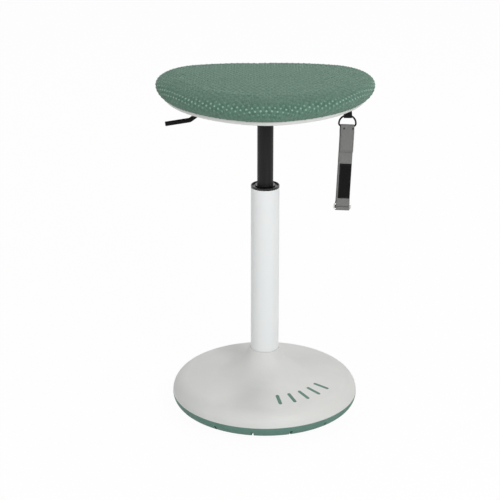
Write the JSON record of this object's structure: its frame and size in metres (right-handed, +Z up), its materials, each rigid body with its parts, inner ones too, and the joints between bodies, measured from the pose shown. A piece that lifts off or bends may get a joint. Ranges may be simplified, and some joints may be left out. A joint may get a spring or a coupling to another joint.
{
  "type": "wobble stool",
  "caption": "Active-sitting stool: rounded triangular padded seat on a gas lift with a release lever, a domed rocking base with a green sole, and a webbing strap hanging from a D-ring.",
  "frame": {"origin": "centre of the base on the floor, on the column's axis", "axes": "+Z up along the column, +X to the right and -Y to the front, as the picture sees the stool"},
  "size_m": [0.384, 0.333, 0.6147],
  "materials": {
    "knit": "green spacer knit with paler dots along the edge",
    "foam": "open cell foam",
    "plywood": "bare plywood",
    "white_shell": "off-white fine texture",
    "green_rubber": "matt green rubber",
    "white_tube": "pale grey powder coat",
    "black_metal": "black satin",
    "black_plastic": "black moulded",
    "black_rubber": "black rubber",
    "steel": "plain steel",
    "zinc": "zinc plated",
    "iron": "raw casting",
    "nickel": "bright nickel",
    "webbing": "grey woven webbing",
    "black_webbing": "black woven tape"
  },
  "bodies": {
    "base": {"base_sole": "green_rubber", "base_shell": "white_shell", "base_inlays": "green_rubber", "base_screws": "zinc", "base_plate": "steel", "ballast_ring": "iron", "column_flange": "steel", "flange_bolts": "zinc", "column_tube": "white_tube", "column_disc": "steel", "guide_bush": "black_plastic", "bearing_washer_lower": "steel", "bearing_cage": "black_plastic", "bearing_balls": "steel"},
    "rod": {"bearing_washer_upper": "steel", "bump_stop": "black_rubber", "piston_rod": "nickel", "rod_washer": "zinc", "retaining_clip": "steel", "piston": "steel", "piston_seal": "black_rubber"},
    "seat": {"gas_cylinder": "black_metal", "rod_guide": "black_plastic", "rod_seal": "black_rubber", "valve_block": "steel", "seat_cover": "knit", "seat_foam": "foam", "seat_board": "plywood", "t_nuts": "zinc", "seat_shell": "white_shell", "pan_screws": "zinc", "cover_staples": "steel", "seat_plate": "black_metal", "taper_socket": "black_metal", "plate_bolts": "zinc", "lever_pins": "zinc", "ring_tab": "black_webbing", "tab_screw": "black_metal"},
    "button": {"release_button": "black_plastic"},
    "lever": {"lever": "black_metal", "lever_block": "black_plastic"},
    "ring": {"d_ring": "black_metal"},
    "strap": {"hang_strap": "webbing", "strap_label": "black_webbing", "slide_ring": "nickel"}
  },
  "joints": [
    {"name": "seat_swivel", "type": "hinge", "parent": "base", "child": "rod", "pos_m": [0, 0, 0.0292], "axis": [0, 0, 1], "continuous": true},
    {"name": "seat_lift", "type": "slide", "parent": "rod", "child": "seat", "axis": [0, 0, 1], "range_m": [-0.09, 0.11]},
    {"name": "lever_tilt", "type": "hinge", "parent": "seat", "child": "lever", "pos_m": [-0.034, 0, 0.5523], "axis": [0, 1, 0], "range_deg": [0, 3.5], "stiffness_Nm_per_rad": 1, "springref_deg": -11.46},
    {"name": "button_press", "type": "slide", "parent": "seat", "child": "button", "axis": [0, 0, -1], "range_m": [0, 0.0022]},
    {"name": "ring_swing", "type": "hinge", "parent": "seat", "child": "ring", "pos_m": [0.139, -0.038, 0.55675], "axis": [1, 0, 0], "range_deg": [-55, 55]},
    {"name": "strap_swing", "type": "hinge", "parent": "ring", "child": "strap", "pos_m": [0.13823, -0.038, 0.53752], "axis": [0.9992, 0, -0.0401], "range_deg": [-30, 30]}
  ],
  "couplings": [
    {"joint": "button_press", "follows": "lever_tilt", "m_per_rad": 0.036}
  ]
}
